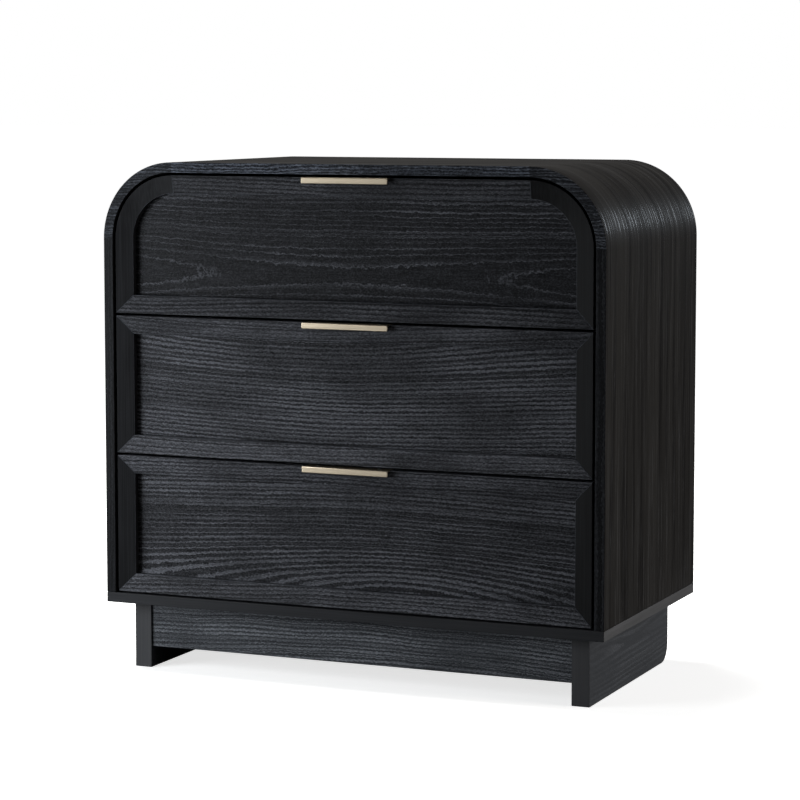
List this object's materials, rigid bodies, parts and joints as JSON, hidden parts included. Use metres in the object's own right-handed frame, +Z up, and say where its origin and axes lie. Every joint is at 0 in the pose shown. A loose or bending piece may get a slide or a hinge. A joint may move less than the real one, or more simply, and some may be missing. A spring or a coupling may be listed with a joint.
{
  "type": "chest of drawers",
  "caption": "Bedside chest with a rounded waterfall carcass on a recessed panel plinth, framed drawer fronts on ball slides and slim metal edge pulls.",
  "frame": {"origin": "on the floor, under the middle of the chest's outer box, pulls included", "axes": "+X to the right as seen from the front, +Y from the drawer fronts to the back, +Z up"},
  "size_m": [0.78, 0.421, 0.754],
  "materials": {
    "black_oak": "black-stained open-pore oak veneer, satin",
    "black_edge_band": "black-stained edge band, fine grain, satin",
    "drawer_box_board": "grey foil-faced board, matt",
    "hardboard": "painted hardboard, matt",
    "zinc_steel": "zinc-plated sheet steel",
    "champagne_metal": "brushed champagne anodised"
  },
  "bodies": {
    "carcass": {"top_panel": "black_oak", "left_corner_panel": "black_oak", "right_corner_panel": "black_oak", "left_side_panel": "black_oak", "right_side_panel": "black_oak", "bottom_panel": "black_oak", "back_panel": "hardboard", "left_leg": "black_oak", "right_leg": "black_oak", "front_apron": "black_oak", "rear_apron": "black_oak", "drawer_1_left_cabinet_rail": "zinc_steel", "drawer_1_right_cabinet_rail": "zinc_steel", "drawer_2_left_cabinet_rail": "zinc_steel", "drawer_2_right_cabinet_rail": "zinc_steel", "drawer_3_left_cabinet_rail": "zinc_steel", "drawer_3_right_cabinet_rail": "zinc_steel"},
    "upper_drawer": {"drawer_1_front_panel": "black_oak", "drawer_1_top_rail": "black_oak", "drawer_1_bottom_rail": "black_oak", "drawer_1_left_stile": "black_edge_band", "drawer_1_right_stile": "black_edge_band", "drawer_1_pull": "champagne_metal", "drawer_1_box_left": "drawer_box_board", "drawer_1_box_right": "drawer_box_board", "drawer_1_box_back": "drawer_box_board", "drawer_1_box_bottom": "hardboard", "drawer_1_left_drawer_rail": "zinc_steel", "drawer_1_right_drawer_rail": "zinc_steel"},
    "upper_middle_rails": {"drawer_1_left_middle_rail": "zinc_steel", "drawer_1_right_middle_rail": "zinc_steel"},
    "middle_drawer": {"drawer_2_front_panel": "black_oak", "drawer_2_top_rail": "black_oak", "drawer_2_bottom_rail": "black_oak", "drawer_2_left_stile": "black_edge_band", "drawer_2_right_stile": "black_edge_band", "drawer_2_pull": "champagne_metal", "drawer_2_box_left": "drawer_box_board", "drawer_2_box_right": "drawer_box_board", "drawer_2_box_back": "drawer_box_board", "drawer_2_box_bottom": "hardboard", "drawer_2_left_drawer_rail": "zinc_steel", "drawer_2_right_drawer_rail": "zinc_steel"},
    "middle_middle_rails": {"drawer_2_left_middle_rail": "zinc_steel", "drawer_2_right_middle_rail": "zinc_steel"},
    "lower_drawer": {"drawer_3_front_panel": "black_oak", "drawer_3_top_rail": "black_oak", "drawer_3_bottom_rail": "black_oak", "drawer_3_left_stile": "black_edge_band", "drawer_3_right_stile": "black_edge_band", "drawer_3_pull": "champagne_metal", "drawer_3_box_left": "drawer_box_board", "drawer_3_box_right": "drawer_box_board", "drawer_3_box_back": "drawer_box_board", "drawer_3_box_bottom": "hardboard", "drawer_3_left_drawer_rail": "zinc_steel", "drawer_3_right_drawer_rail": "zinc_steel"},
    "lower_middle_rails": {"drawer_3_left_middle_rail": "zinc_steel", "drawer_3_right_middle_rail": "zinc_steel"}
  },
  "joints": [
    {"name": "upper_drawer_slide", "type": "slide", "parent": "carcass", "child": "upper_drawer", "axis": [0, -1, 0], "range_m": [0, 0.34]},
    {"name": "upper_middle_rails_slide", "type": "slide", "parent": "carcass", "child": "upper_middle_rails", "axis": [0, -1, 0], "range_m": [0, 0.17]},
    {"name": "middle_drawer_slide", "type": "slide", "parent": "carcass", "child": "middle_drawer", "axis": [0, -1, 0], "range_m": [0, 0.34]},
    {"name": "middle_middle_rails_slide", "type": "slide", "parent": "carcass", "child": "middle_middle_rails", "axis": [0, -1, 0], "range_m": [0, 0.17]},
    {"name": "lower_drawer_slide", "type": "slide", "parent": "carcass", "child": "lower_drawer", "axis": [0, -1, 0], "range_m": [0, 0.34]},
    {"name": "lower_middle_rails_slide", "type": "slide", "parent": "carcass", "child": "lower_middle_rails", "axis": [0, -1, 0], "range_m": [0, 0.17]}
  ],
  "couplings": [
    {"joint": "upper_middle_rails_slide", "follows": "upper_drawer_slide", "ratio": 0.5},
    {"joint": "middle_middle_rails_slide", "follows": "middle_drawer_slide", "ratio": 0.5},
    {"joint": "lower_middle_rails_slide", "follows": "lower_drawer_slide", "ratio": 0.5}
  ]
}
